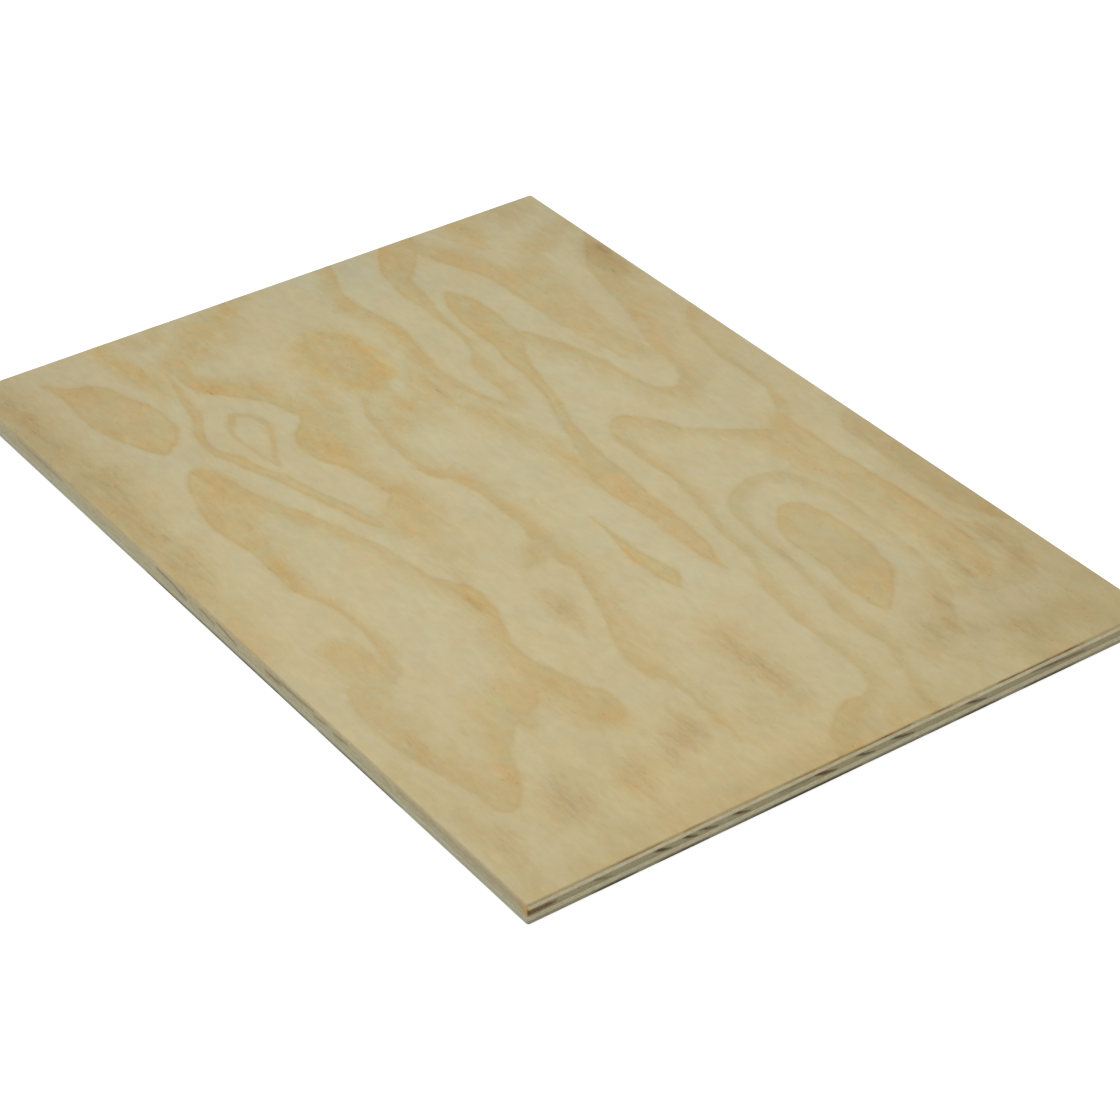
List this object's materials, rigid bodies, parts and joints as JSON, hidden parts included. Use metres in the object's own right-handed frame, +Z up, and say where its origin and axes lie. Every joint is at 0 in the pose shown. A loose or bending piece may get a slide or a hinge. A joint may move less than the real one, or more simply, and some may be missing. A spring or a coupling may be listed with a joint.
{
  "type": "plywood sheet",
  "caption": "Rectangular cut panel of softwood plywood, its crosswise veneers open to view on the sawn edges, with lightly eased outer edges and slightly rounded corners.",
  "frame": {"origin": "middle of the underside, on the surface that the sheet lies on", "axes": "+Z up through the thickness, +X along the long side and the grain of the face, +Y along the short side"},
  "size_m": [0.42, 0.297, 0.0098],
  "materials": {
    "face_wood": "sanded, uncoated, pale tan with soft orange-tan latewood figure",
    "crossband_wood": "sawn, uncoated, pale grey-tan",
    "core_wood": "sawn, uncoated, darker where the end grain shows",
    "back_wood": "lightly sanded, uncoated, tan"
  },
  "bodies": {
    "root": {"face_veneer": "face_wood", "upper_crossband": "crossband_wood", "core_veneer": "core_wood", "lower_crossband": "crossband_wood", "back_veneer": "back_wood"}
  },
  "joints": []
}
